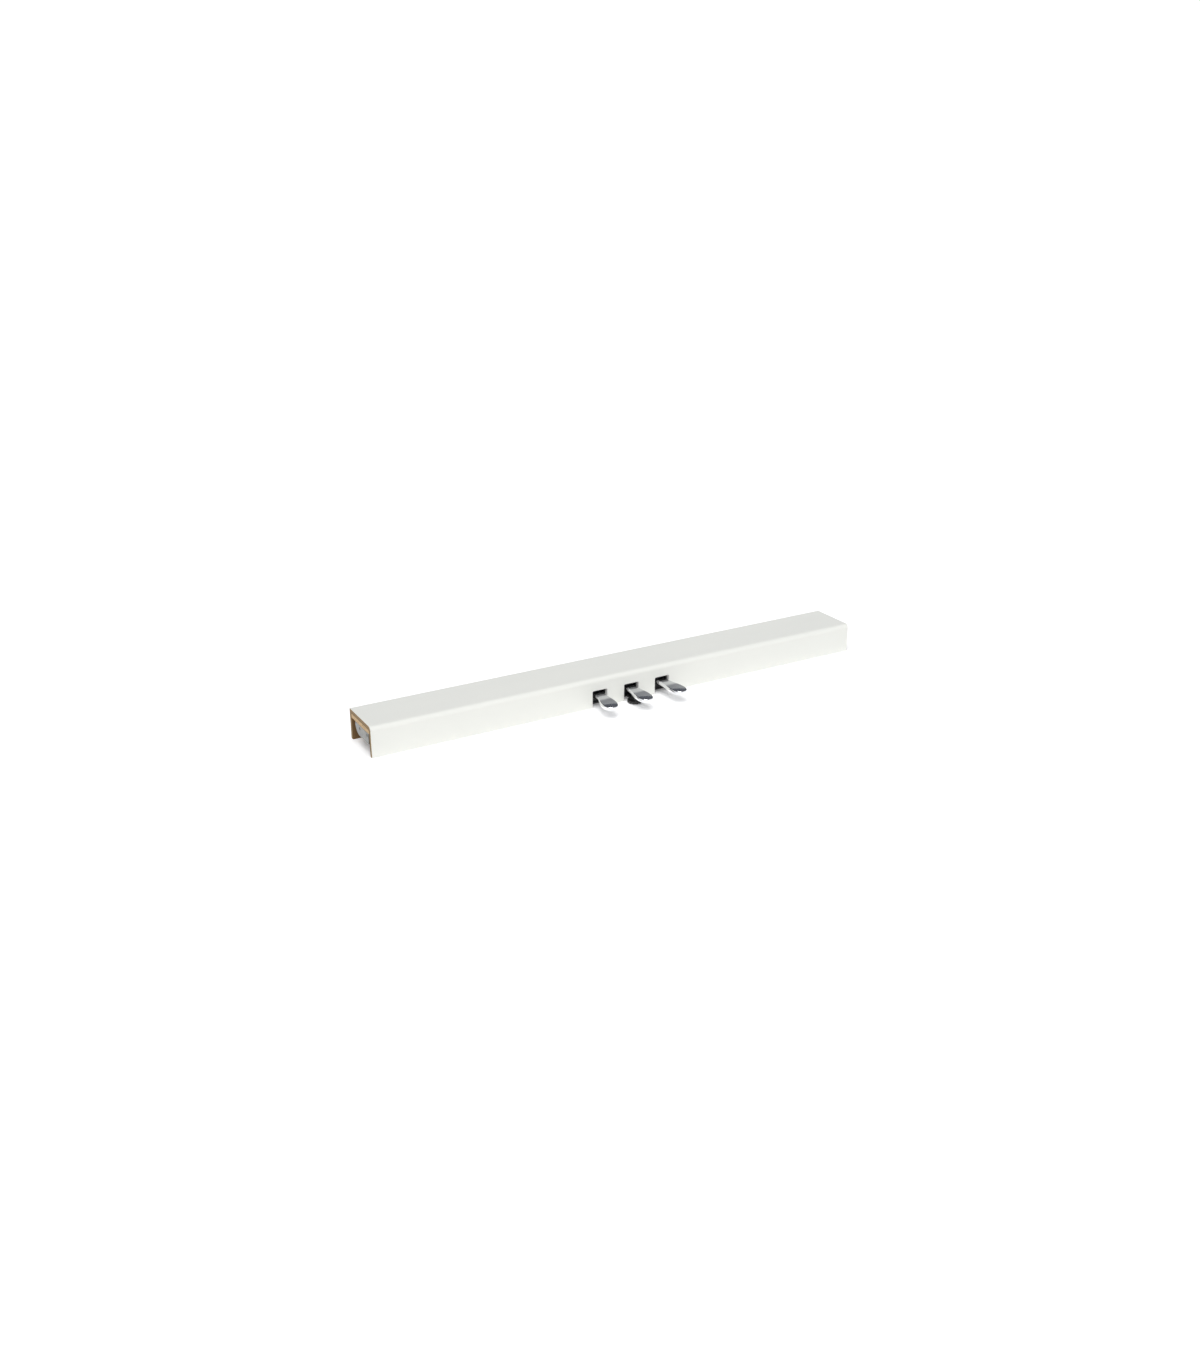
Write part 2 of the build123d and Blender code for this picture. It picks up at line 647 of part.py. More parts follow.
def wire_clips():
    """Plastic saddles that hold the wires down on the cover."""
    clips = []
    for x in (-22, 22):
        half = 2 * WIRE_PITCH + 1.6
        outer = block(x - 3, x + 3, SENSOR_Y - half, SENSOR_Y + half, COVER_TOP, 16.4)
        inner = block(x - 4, x + 4, SENSOR_Y - half + 1.2, SENSOR_Y + half - 1.2, 13.2, 15)
        clips.append(outer - inner)
    return group(clips)


# ---- rear socket for a detachable cord ----

SOCKET_PLATE = 1.5


def socket_body():
    """Round shell that passes through the back board, with a terminal block at its inner end."""
    front = SENSOR_Y - 3.6
    shell = rod_y(SOCKET_RADIUS, SOCKET_X, SENSOR_Y + 4.2, BACK - 0.2, SOCKET_Z)
    shell = shell - rod_y(SOCKET_RADIUS - 1.6, SOCKET_X, BACK - 11, BACK + 1, SOCKET_Z)
    base = block(SOCKET_X - 6, SOCKET_X + 6, front, SENSOR_Y + 4.2, SOCKET_Z, SOCKET_Z + 6)
    return shell + base


def socket_pins():
    """Contacts inside the socket."""
    pins = []
    for i in range(6):
        angle = math.radians(-30 + 48 * i)
        x = SOCKET_X + 3.6 * math.cos(angle)
        z = SOCKET_Z + 3.6 * math.sin(angle)
        pins.append(rod_y(0.5, x, BACK - 11, BACK - 3, z))
    return group(pins)


def socket_plate(screws):
    """Oval cover plate let into the back board."""
    plate = block(SOCKET_X - 17, SOCKET_X + 17, BACK - 0.2 - SOCKET_PLATE, BACK - 0.2, SOCKET_Z - 10, SOCKET_Z + 10)
    plate = fillet(plate.edges().filter_by(Axis.Y), 9.5)
    plate = plate - rod_y(SOCKET_RADIUS, SOCKET_X, BACK - 4, BACK + 1, SOCKET_Z)
    return cut_all(plate, screws)


def socket_screw_blanks():
    """The outer shapes of the plate's two countersunk screws."""
    blanks = []
    for side in (-1, 1):
        x = SOCKET_X + side * 12.6
        head_y = BACK - 0.2
        head = Pos(x, head_y - 0.65, SOCKET_Z) * Rot(-90, 0, 0) * Cone(1.3, 2.4, 1.3)
        shank = rod_y(1.3, x, head_y - 7.5, head_y - 1.3, SOCKET_Z)
        blanks.append(head + shank)
    return blanks


def socket_screws():
    """Countersunk screws with a straight slot."""
    y = BACK - 0.2
    z = SOCKET_Z
    slot = block(SOCKET_X - 14.2, SOCKET_X + 14.2, y - 0.6, y + 1, z - 0.3, z + 0.3)
    return group([blank - slot for blank in socket_screw_blanks()])


def drilled_back(back):
    """Back board with the socket's hole and the shallow bed for its plate."""
    bed = block(SOCKET_X - 17, SOCKET_X + 17, BACK - 0.2 - SOCKET_PLATE, BACK + 1, SOCKET_Z - 10, SOCKET_Z + 10)
    bed = fillet(bed.edges().filter_by(Axis.Y), 9.5)
    shape = back - bed - rod_y(SOCKET_RADIUS, SOCKET_X, INNER_BACK - 1, BACK + 1, SOCKET_Z)
    return cut_all(shape, socket_screw_blanks()), bed


# ---- assembly ----

def build():
    """Every node by name."""
    join = joining_screws()
    brackets = bracket_screws()
    chassis_fixings = chassis_screws()
    housing_fixings = housing_screws()
    cover_fixings = cover_screws()
    pcb_fixings = board_screws()
    wood = join + brackets + chassis_fixings + housing_fixings

    front, top, back = bar_boards(wood)
    back, bed = drilled_back(back)
    left = cut_all(left_bracket(), brackets)
    right = cut_all(mirror(left_bracket(), about=Plane.YZ), brackets)

    nodes = {
        "front_board": front,
        "top_board": top,
        "back_board": back,
        "outer_foil": outer_foil() - bed,
        "notch_edging": notch_edging(),
        "inner_top_board": inner_board(wood),
        "board_joining_screws": group(join),
        "left_end_bracket": left,
        "right_end_bracket": right,
        "end_bracket_screws": group(brackets),
        "pedal_chassis": chassis(chassis_fixings + pcb_fixings),
        "chassis_screws": group(chassis_fixings),
        "pivot_pins": pivot_pins(),
        "pivot_clips": pivot_clips(),
        "upper_stop_felts": upper_stops(),
        "lower_stop_pads": lower_stops(),
        "housing_shell": housing_shell(chassis_fixings + housing_fixings, cover_fixings),
        "housing_screws": group(housing_fixings),
        "housing_bottom_cover": bottom_cover(cover_fixings),
        "bottom_cover_screws": group(cover_fixings),
        "adjuster_insert": adjuster_insert(),
        "adjuster_stem": adjuster_stem(),
        "adjuster_knob": adjuster_knob(),
        "adjuster_pad": adjuster_pad(),
        "sensor_board": sensor_board(pcb_fixings),
        "sensor_board_spacers": board_spacers(pcb_fixings),
        "sensor_board_screws": group(pcb_fixings),
        "sensor_board_parts": board_parts(),
        "sensor_connector": board_connector(),
        "sensor_wires": sensor_wires(),
        "sensor_wire_clips": wire_clips(),
        "socket_body": socket_body(),
        "socket_pins": socket_pins(),
        "socket_plate": socket_plate(socket_screw_blanks()),
        "socket_screws": socket_screws(),
    }
    for name, x, fan in zip(PEDAL_NAMES, PEDAL_X, PEDAL_FAN_DEG):
        nodes[name + "_pedal"] = pedal(x, fan)
        nodes[name + "_pedal_bushes"] = pedal_bushes(x)
        nodes[name + "_pedal_flag"] = sensor_flag(x)
        nodes[name + "_pedal_spring"] = return_spring(x)
        nodes[name + "_pedal_sensor"] = pedal_sensor(x)
    return nodes


for node, shape in build().items():
    export_step(shape, "parts/" + node + ".step")
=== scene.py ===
import json
import math

import bmesh
import bpy
import numpy as np
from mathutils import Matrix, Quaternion, Vector


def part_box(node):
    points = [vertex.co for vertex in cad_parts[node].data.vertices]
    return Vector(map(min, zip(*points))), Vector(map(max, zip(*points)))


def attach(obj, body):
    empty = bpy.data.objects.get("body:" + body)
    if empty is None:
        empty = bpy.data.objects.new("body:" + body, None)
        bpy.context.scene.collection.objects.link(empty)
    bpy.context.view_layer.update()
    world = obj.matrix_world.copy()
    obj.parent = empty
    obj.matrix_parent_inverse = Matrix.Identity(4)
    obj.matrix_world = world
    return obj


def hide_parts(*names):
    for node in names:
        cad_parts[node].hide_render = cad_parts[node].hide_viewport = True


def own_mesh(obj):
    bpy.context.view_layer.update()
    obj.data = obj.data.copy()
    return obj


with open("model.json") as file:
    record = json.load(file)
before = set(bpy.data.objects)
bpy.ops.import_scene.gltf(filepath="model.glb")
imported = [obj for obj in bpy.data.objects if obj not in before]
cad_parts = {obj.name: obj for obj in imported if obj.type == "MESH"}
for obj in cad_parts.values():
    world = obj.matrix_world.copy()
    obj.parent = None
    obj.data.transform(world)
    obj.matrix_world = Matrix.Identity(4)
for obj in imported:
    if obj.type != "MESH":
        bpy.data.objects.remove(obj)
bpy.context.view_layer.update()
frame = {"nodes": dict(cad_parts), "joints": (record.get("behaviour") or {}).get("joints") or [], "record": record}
print("frame loaded:", len(frame["nodes"]), "nodes")

mm = 0.001
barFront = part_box("outer_foil")[0].y / mm
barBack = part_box("outer_foil")[1].y / mm
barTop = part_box("outer_foil")[1].z / mm
pedalNames = ["soft", "sostenuto", "damper"]
hinges = {joint["name"]: joint for joint in frame["joints"]}


# one socket of a node tree, so that shader sums read as sums
class Value:
    def __init__(self, tree, socket=None):
        self.tree = tree
        self.socket = socket

    # any node: its type, the settings, then the values or links of its sockets
    def node(self, kind, settings, sockets, output=0):
        made = self.tree.nodes.new(kind)
        for name, setting in settings.items():
            if name == "stops":
                self.setStops(made.color_ramp, setting)
            else:
                setattr(made, name, setting)
        for name, value in sockets.items():
            if isinstance(value, Value):
                self.tree.links.new(value.socket, made.inputs[name])
            else:
                made.inputs[name].default_value = value
        return Value(self.tree, made.outputs[output]) if made.outputs else None

    def setStops(self, ramp, stops):
        while len(ramp.elements) < len(stops):
            ramp.elements.new(0.5)
        for element, (position, colour) in zip(ramp.elements, stops):
            element.position = position
            element.color = (*colour, 1)

    def maths(self, operation, first, second=0.0):
        return self.node("ShaderNodeMath", {"operation": operation}, {0: first, 1: second})

    def __add__(self, other):
        return self.maths("ADD", self, other)

    def __radd__(self, other):
        return self.maths("ADD", other, self)

    def __sub__(self, other):
        return self.maths("SUBTRACT", self, other)

    def __rsub__(self, other):
        return self.maths("SUBTRACT", other, self)

    def __mul__(self, other):
        return self.maths("MULTIPLY", self, other)

    def __rmul__(self, other):
        return self.maths("MULTIPLY", other, self)

    def __abs__(self):
        return self.maths("ABSOLUTE", self)

    # 0 below low, 1 above high, an even ramp between
    def ramp(self, low, high):
        return self.node(
            "ShaderNodeMapRange", {"clamp": True},
            {"Value": self, "From Min": low, "From Max": high, "To Min": 0.0, "To Max": 1.0},
        )

    # cloudy noise; a vector is read in millimetres, so size is the blob size in millimetres
    def noise(self, size, detail=3.0, stretch=(1, 1, 1), roughness=0.5):
        place = self.stretched(stretch)
        return place.node(
            "ShaderNodeTexNoise", {},
            {"Vector": place, "Scale": 1 / size, "Detail": detail, "Roughness": roughness}, "Fac",
        )

    def stretched(self, stretch):
        if stretch == (1, 1, 1):
            return self
        scale = [1 / s for s in stretch]
        return self.node("ShaderNodeMapping", {}, {"Vector": self, "Scale": scale}, "Vector")

    # cells of a given size; output is "Distance" or "Color"
    def cells(self, size, feature="F1", stretch=(1, 1, 1), output="Distance"):
        place = self.stretched(stretch)
        return place.node(
            "ShaderNodeTexVoronoi", {"feature": feature}, {"Vector": place, "Scale": 1 / size}, output
        )

    def between(self, low, high):
        return low + self * (high - low)

    # two colours mixed by this value
    def colours(self, low, high):
        full = [c if isinstance(c, Value) else (*c, 1) for c in (low, high)]
        return self.node("ShaderNodeMix", {"data_type": "RGBA"}, {0: self, 6: full[0], 7: full[1]}, 2)

    def stops(self, *stops):
        return self.node("ShaderNodeValToRGB", {"stops": stops}, {"Fac": self}, "Color")

    def part(self, axis):
        return self.node("ShaderNodeSeparateXYZ", {}, {"Vector": self}, axis)


# every finish reads object coordinates, turned into millimetres
def newFinish(name):
    material = bpy.data.materials.new(name)
    material.use_nodes = True
    material.node_tree.nodes.clear()
    start = Value(material.node_tree)
    metres = start.node("ShaderNodeTexCoord", {}, {}, "Object")
    place = start.node("ShaderNodeVectorMath", {"operation": "SCALE"}, {0: metres, "Scale": 1 / mm})
    return material, place


# closes a finish: the shader's own sockets, a bump height and a soft edge radius, both in millimetres
def closeFinish(place, sockets, height=None, strength=0.5, edge=0.0):
    sockets = dict(sockets)
    normal = None
    if edge:
        normal = place.node("ShaderNodeBevel", {"samples": 4}, {"Radius": edge * mm}, "Normal")
    if height is not None:
        bump = {"Height": height, "Strength": strength, "Distance": mm}
        if normal:
            bump["Normal"] = normal
        normal = place.node("ShaderNodeBump", {}, bump, "Normal")
    if normal:
        sockets["Normal"] = normal
    shader = place.node("ShaderNodeBsdfPrincipled", {}, sockets, "BSDF")
    place.node("ShaderNodeOutputMaterial", {}, {"Surface": shader})


# how far a face points along X, from 0 to 1, to tell cut ends from faces
def endward(place):
    normal = place.node("ShaderNodeNewGeometry", {}, {}, "Normal")
    return abs(normal.part("X")).ramp(0.8, 0.95)


foilLook = {
    "colour": (0.772, 0.774, 0.727),
    "shade": (0.754, 0.758, 0.714),
    "core": (0.72, 0.60, 0.43),
    "roughness": (0.34, 0.46),
}


def whiteFoilFinish():
    material, place = newFinish("white foil")
    broad = place.noise(160, 3, (2, 1, 1))
    surface = broad.ramp(0.35, 0.65).colours(foilLook["colour"], foilLook["shade"])
    colour = endward(place).colours(surface, foilLook["core"])
    handled = place.noise(38, 4, (1.6, 1, 1)).ramp(0.35, 0.75)
    pores = place.noise(0.55, 2, (2.6, 1, 1))
    ripple = place.noise(14, 1, (3, 1, 1))
    height = pores * 0.012 + ripple * 0.02
    closeFinish(place, {
        "Base Color": colour,
        "Roughness": handled.between(*foilLook["roughness"]),
        "Specular IOR Level": 0.45,
    }, height, 0.5, 0.25)
    return material


def edgingFinish():
    material, place = newFinish("edging strip")
    mottle = place.noise(6, 3)
    scrape = place.noise(0.35, 2, (1, 1, 12))
    closeFinish(place, {
        "Base Color": mottle.colours((0.80, 0.795, 0.77), (0.74, 0.73, 0.70)),
        "Roughness": scrape.between(0.35, 0.6),
    }, scrape * 0.02, 0.4, 0.15)
    return material


fibreLook = {
    "face": (0.150, 0.084, 0.032),
    "faceLight": (0.205, 0.122, 0.052),
    "core": (0.300, 0.215, 0.120),
    "skin": (0.135, 0.085, 0.042),
}


# pressed fibres: denser and darker near a board's two faces, paler in the middle of the cut
def fibreboardFinish(name, axis, low, high):
    material, place = newFinish(name)
    fibres = place.noise(0.5, 5, (5, 1, 1), 0.65)
    flecks = place.noise(0.28, 3, (1, 1.6, 1.6))
    half = (high - low) / 2
    across = abs(place.part(axis) - (low + half)) * (1 / half)
    dense = (across + place.noise(1.4, 3) * 0.3).ramp(0.72, 1.12)
    cut = flecks.ramp(0.3, 0.7).colours(fibreLook["core"], (0.235, 0.155, 0.078))
    cut = dense.colours(cut, fibreLook["skin"])
    face = fibres.ramp(0.35, 0.7).colours(fibreLook["face"], fibreLook["faceLight"])
    height = fibres * 0.05 + flecks * 0.06
    closeFinish(place, {
        "Base Color": endward(place).colours(face, cut),
        "Roughness": fibres.between(0.78, 0.95),
        "Specular IOR Level": 0.25,
    }, height, 0.7, 0.3)
    return material


chipLook = {
    "pale": (0.60, 0.43, 0.25),
    "middle": (0.50, 0.345, 0.19),
    "dark": (0.30, 0.185, 0.09),
}


# chips of wood pressed together, long on the faces and short with small voids on the cut
def chipboardFinish():
    material, place = newFinish("light chip board")
    wobble = place.noise(2.2, 3)
    chips = place.cells(1.5, "F1", (3.2, 1.6, 1), "Color").part("X")
    gaps = place.cells(1.5, "DISTANCE_TO_EDGE", (3.2, 1.6, 1))
    tint = (chips * 0.7 + wobble * 0.4).stops(
        (0.15, chipLook["dark"]), (0.38, chipLook["middle"]), (0.75, chipLook["pale"])
    )
    pits = place.noise(0.7, 2).ramp(0.3, 0.42)
    colour = pits.colours(chipLook["dark"], tint)
    height = gaps.ramp(0.0, 0.25) * 0.08 + pits * 0.1
    closeFinish(place, {
        "Base Color": colour,
        "Roughness": chips.between(0.7, 0.92),
        "Specular IOR Level": 0.3,
    }, height, 0.7, 0.3)
    return material


# zinc crystals of different greys with a bloom of white oxide
def galvanisedFinish():
    material, place = newFinish("galvanised sheet")
    crystals = place.cells(5.5, "F1", (1, 1, 1), "Color").part("X")
    veins = place.cells(5.5, "DISTANCE_TO_EDGE")
    bloom = place.noise(9, 4).ramp(0.45, 0.75)
    scratches = place.noise(0.3, 2, (1, 14, 1))
    metal = crystals.colours((0.24, 0.245, 0.24), (0.35, 0.35, 0.335))
    colour = (bloom * 0.45).colours(metal, (0.44, 0.425, 0.39))
    closeFinish(place, {
        "Base Color": colour,
        "Metallic": 0.85 - bloom * 0.25,
        "Roughness": (crystals * 0.6 + scratches * 0.4).between(0.38, 0.58),
    }, veins.ramp(0.0, 0.12) * 0.03 + scratches * 0.02, 0.4, 0.3)
    return material


# plated screws: lathe lines round the head and a faint yellow passivation
def zincScrewFinish():
    material, place = newFinish("zinc plated screws")
    lines = place.noise(0.12, 2, (1, 1, 0.4))
    tint = place.noise(3, 2).ramp(0.35, 0.7)
    closeFinish(place, {
        "Base Color": tint.colours((0.66, 0.66, 0.63), (0.60, 0.57, 0.47)),
        "Metallic": 1.0,
        "Roughness": lines.between(0.26, 0.44),
    }, lines * 0.012, 0.4, 0.15)
    return material


def paintedSteelFinish(name, colour, worn):
    material, place = newFinish(name)
    peel = place.noise(0.6, 2)
    dust = place.noise(7, 4).ramp(0.5, 0.8)
    closeFinish(place, {
        "Base Color": (dust * 0.5).colours(colour, worn),
        "Roughness": (peel * 0.5 + dust * 0.5).between(0.32, 0.52),
        "Coat Weight": 0.15,
    }, peel * 0.03, 0.4, 0.25)
    return material


# turned or drawn steel, with fine lines round the part
def brightSteelFinish(name, colour, roughness, stretch):
    material, place = newFinish(name)
    lines = place.noise(0.16, 3, stretch)
    film = place.noise(4, 3)
    closeFinish(place, {
        "Base Color": film.colours(colour, [0.8 * c for c in colour]),
        "Metallic": 1.0,
        "Roughness": (lines * 0.7 + film * 0.3).between(*roughness),
    }, lines * 0.01, 0.4)
    return material


def feltFinish():
    material, place = newFinish("stop felt")
    fuzz = place.noise(0.22, 4, (1, 1, 1), 0.7)
    matted = place.noise(1.6, 3)
    closeFinish(place, {
        "Base Color": (fuzz * 0.6 + matted * 0.4).colours((0.014, 0.014, 0.016), (0.050, 0.050, 0.054)),
        "Roughness": 0.96,
        "Sheen Weight": 0.5,
        "Sheen Roughness": 0.5,
    }, fuzz * 0.18, 0.8)
    return material


# moulded parts: fine grain from the tool, with a little dust in it
def mouldedFinish(name, colour, dusty, roughness, grain=0.28, depth=0.03, edge=0.25):
    material, place = newFinish(name)
    texture = place.noise(grain, 3)
    dust = place.noise(11, 4).ramp(0.45, 0.8)
    closeFinish(place, {
        "Base Color": (dust * 0.5 + texture * 0.15).colours(colour, dusty),
        "Roughness": (texture * 0.6 + dust * 0.4).between(*roughness),
    }, texture * depth, 0.5, edge)
    return material


# green lacquer over copper tracks that run along and across the board
def circuitFinish():
    material, place = newFinish("circuit board")
    along = place.node(
        "ShaderNodeTexBrick", {"offset": 0.37, "squash": 1.0},
        {"Vector": place, "Scale": 0.22, "Mortar Size": 0.055, "Mortar Smooth": 0.1,
         "Brick Width": 3.2, "Row Height": 0.42}, "Fac",
    )
    lacquer = place.noise(3, 3)
    green = lacquer.colours((0.012, 0.115, 0.045), (0.020, 0.150, 0.062))
    closeFinish(place, {
        "Base Color": (along * 0.75).colours(green, (0.045, 0.25, 0.095)),
        "Roughness": lacquer.between(0.22, 0.36),
    }, along * 0.05, 0.4)
    return material


# four wires lie side by side, so the place across them picks each one's colour
def wireFinish():
    material, place = newFinish("sensor wires")
    low, high = [corner.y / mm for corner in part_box("sensor_wires")]
    across = (place.part("Y") - low) * (1 / (high - low))
    stops = [(0.0, (0.02, 0.02, 0.022)), (0.25, (0.42, 0.03, 0.025)),
             (0.5, (0.62, 0.60, 0.56)), (0.75, (0.50, 0.34, 0.03))]
    colour = across.stops(*stops)
    colour.socket.node.color_ramp.interpolation = "CONSTANT"
    scuff = place.noise(0.8, 3)
    closeFinish(place, {
        "Base Color": (scuff * 0.25).colours(colour, (0.16, 0.15, 0.14)),
        "Roughness": scuff.between(0.38, 0.55),
    }, scuff * 0.02, 0.4)
    return material


# chrome colours that stand in for reflections: rims painted bright as a highlight, the neck painted grey, the toe
# top painted dark with a near-black painted band round it; the roughness is the metal's own
chromeLook = {
    "rim": (0.88, 0.885, 0.90),
    "neck": (0.66, 0.67, 0.69),
    "toe": (0.235, 0.245, 0.275),
    "toeDarkReflectionBand": (0.060, 0.062, 0.070),
    "toeStart": (28, 37),       # in front of the bar's face
    "roughness": (0.05, 0.12),
}


# polished chrome whose colour carries painted reflections: painted bright highlights on the rounded rims, a neck
# painted greyer, and a toe top painted dark with a near-black painted band round its upper edge, all standing in
# for reflections
def chromeFinish():
    material, place = newFinish("polished chrome")
    hairlines = place.noise(0.09, 2, (1, 22, 1))
    film = place.noise(12, 4).ramp(0.42, 0.75)
    flow = place.noise(7, 1)
    upward = place.node("ShaderNodeNewGeometry", {}, {}, "Normal").part("Z")
    ahead = barFront - place.part("Y") + film * 3
    # rims painted bright and the level neck painted grey, chosen by how far the face points up: painted highlight
    # and painted reflection
    neck = upward.ramp(0.86, 0.985).colours(chromeLook["rim"], chromeLook["neck"])
    # on the toe, by how far the face points up: rounded sides painted bright, a band painted near black just below
    # the top, and the level top painted dark grey, all painted reflections; edge holds the band's colour
    edge = chromeLook["toeDarkReflectionBand"]
    toe = upward.ramp(0.8, 1.0).stops(
        (0.42, chromeLook["rim"]), (0.62, edge), (0.88, edge), (0.99, chromeLook["toe"])
    )
    # the painted dark toe takes over toeStart millimetres in front of the bar's face
    paintedReflectionTone = ahead.ramp(*chromeLook["toeStart"]).colours(neck, toe)
    closeFinish(place, {
        "Base Color": (film * 0.12).colours(paintedReflectionTone, chromeLook["neck"]),
        "Metallic": 1.0,
        "Roughness": (film * 0.7 + hairlines * 0.3).between(*chromeLook["roughness"]),
    }, flow * 0.012 + hairlines * 0.0006, 0.3)
    return material


print("finishes")
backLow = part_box("back_board")[0].y / mm
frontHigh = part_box("front_board")[1].y / mm
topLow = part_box("top_board")[0].z / mm
finishes = {
    "frontFibre": fibreboardFinish("front fibreboard", "Y", barFront, frontHigh),
    "backFibre": fibreboardFinish("back fibreboard", "Y", backLow, barBack),
    "topFibre": fibreboardFinish("top fibreboard", "Z", topLow, barTop),
    "light_board": chipboardFinish(),
    "white_foil": whiteFoilFinish(),
    "edging": edgingFinish(),
    "zinc_screw": zincScrewFinish(),
    "galvanised_steel": galvanisedFinish(),
    "dark_steel": paintedSteelFinish("black coated steel", (0.020, 0.020, 0.022), (0.10, 0.098, 0.09)),
    "bright_steel": brightSteelFinish("turned steel", (0.66, 0.66, 0.67), (0.18, 0.34), (0.5, 6, 6)),
    "stop_felt": feltFinish(),
    "stop_rubber": mouldedFinish(
        "stop rubber", (0.018, 0.018, 0.018), (0.09, 0.085, 0.078), (0.62, 0.85), 0.5
    ),
    "black_plastic": mouldedFinish(
        "black plastic", (0.010, 0.010, 0.011), (0.045, 0.043, 0.04), (0.42, 0.6)
    ),
    "knob_plastic": mouldedFinish(
        "knob plastic", (0.005, 0.005, 0.006), (0.022, 0.021, 0.02), (0.42, 0.6), 0.2, 0.02
    ),
    "brass": brightSteelFinish("brass", (0.74, 0.54, 0.24), (0.24, 0.4), (4, 4, 0.5)),
    "circuit_board": circuitFinish(),
    "white_plastic": mouldedFinish(
        "natural nylon", (0.74, 0.72, 0.66), (0.55, 0.52, 0.45), (0.35, 0.55), 0.8, 0.02
    ),
    "board_parts": mouldedFinish(
        "part moulding", (0.015, 0.015, 0.017), (0.06, 0.06, 0.06), (0.4, 0.6), 0.2
    ),
    "wire_insulation": wireFinish(),
    "chrome_plate": chromeFinish(),
    "spring_steel": brightSteelFinish("spring steel", (0.50, 0.50, 0.51), (0.22, 0.4), (1, 1, 0.3)),
}
ownFinish = {
    "front_board": "frontFibre",
    "back_board": "backFibre",
    "top_board": "topFibre",
    "notch_edging": "edging",
}
for row in frame["record"]["subparts"]:
    node = frame["nodes"][row["node"]]
    node.data.materials.clear()
    node.data.materials.append(finishes[ownFinish.get(row["node"], row["material_slot"])])


# an even S from 0 to 1
def ease(t):
    t = np.clip(t, 0, 1)
    return t * t * (3 - 2 * t)


# a grid of points becomes quads, and wraps round along its second direction
def gridMesh(name, points, sharp=35):
    rows, columns = points.shape[:2]
    index = np.arange(rows * columns).reshape(rows, columns)
    beside = np.roll(index, -1, axis=1)
    quads = np.stack([index[:-1], beside[:-1], beside[1:], index[1:]], axis=-1).reshape(-1, 4)
    mesh = bpy.data.meshes.new(name)
    mesh.from_pydata(points.reshape(-1, 3) * mm, [], quads.tolist())
    closeMesh(mesh, sharp)
    made = bpy.data.objects.new(name, mesh)
    bpy.context.scene.collection.objects.link(made)
    return made


# merges doubles at seams and poles, drops empty faces and turns every face outwards
def closeMesh(mesh, sharp):
    work = bmesh.new()
    work.from_mesh(mesh)
    bmesh.ops.remove_doubles(work, verts=work.verts, dist=2e-7)
    bmesh.ops.dissolve_degenerate(work, edges=work.edges, dist=1e-7)
    bmesh.ops.recalc_face_normals(work, faces=work.faces)
    work.to_mesh(mesh)
    work.free()
    mesh.shade_smooth()
    mesh.set_sharp_from_angle(angle=math.radians(sharp))


# a profile of (radius, height) pairs turned round an axis through centre; "X" or "Z"
def turned(name, profile, centre, axis="Z", steps=96, sharp=35):
    radius, height = np.array(profile, float).T
    angle = np.linspace(0, 2 * np.pi, steps, endpoint=False)
    across = radius[:, None] * np.cos(angle)
    up = radius[:, None] * np.sin(angle)
    along = np.broadcast_to(height[:, None], across.shape)
    parts = (across, up, along) if axis == "Z" else (along, across, up)
    return gridMesh(name, np.stack(parts, axis=-1) + np.array(centre, float), sharp=sharp)


# a round wire carried along a path, with flat ends closed by a centre point
def wireAlong(path, radius, steps=16):
    tangent = np.gradient(path, axis=0)
    tangent /= np.linalg.norm(tangent, axis=1, keepdims=True)
    side = np.cross(tangent, (0, 0, 1))
    side /= np.linalg.norm(side, axis=1, keepdims=True)
    over = np.cross(side, tangent)
    angle = np.linspace(0, 2 * np.pi, steps, endpoint=False)
    ring = side[:, None] * np.cos(angle)[:, None] + over[:, None] * np.sin(angle)[:, None]
    middle = path[:, None] + ring * radius
    start = np.broadcast_to(path[:1, None], middle[:1].shape)
    end = np.broadcast_to(path[-1:, None], middle[-1:].shape)
    return np.concatenate([start, middle, end])


# closed parts joined into one solid
def fused(name, parts, sharp=35):
    base = parts[0]
    for part in parts[1:]:
        join = base.modifiers.new("join", "BOOLEAN")
        join.operation = "UNION"
        join.solver = "EXACT"
        join.object = part
    bpy.context.view_layer.update()
    mesh = bpy.data.meshes.new_from_object(base.evaluated_get(bpy.context.evaluated_depsgraph_get()))
    for part in parts:
        bpy.data.objects.remove(part)
    closeMesh(mesh, sharp)
    mesh.name = name
    made = bpy.data.objects.new(name, mesh)
    bpy.context.scene.collection.objects.link(made)
    return made


def dress(piece, finish, slotName, body, *nodes):
    piece.data.materials.clear()
    piece.data.materials.append(finishes[finish])
    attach(piece, body)
    if nodes:
        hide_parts(*nodes)
    print("made", piece.name)


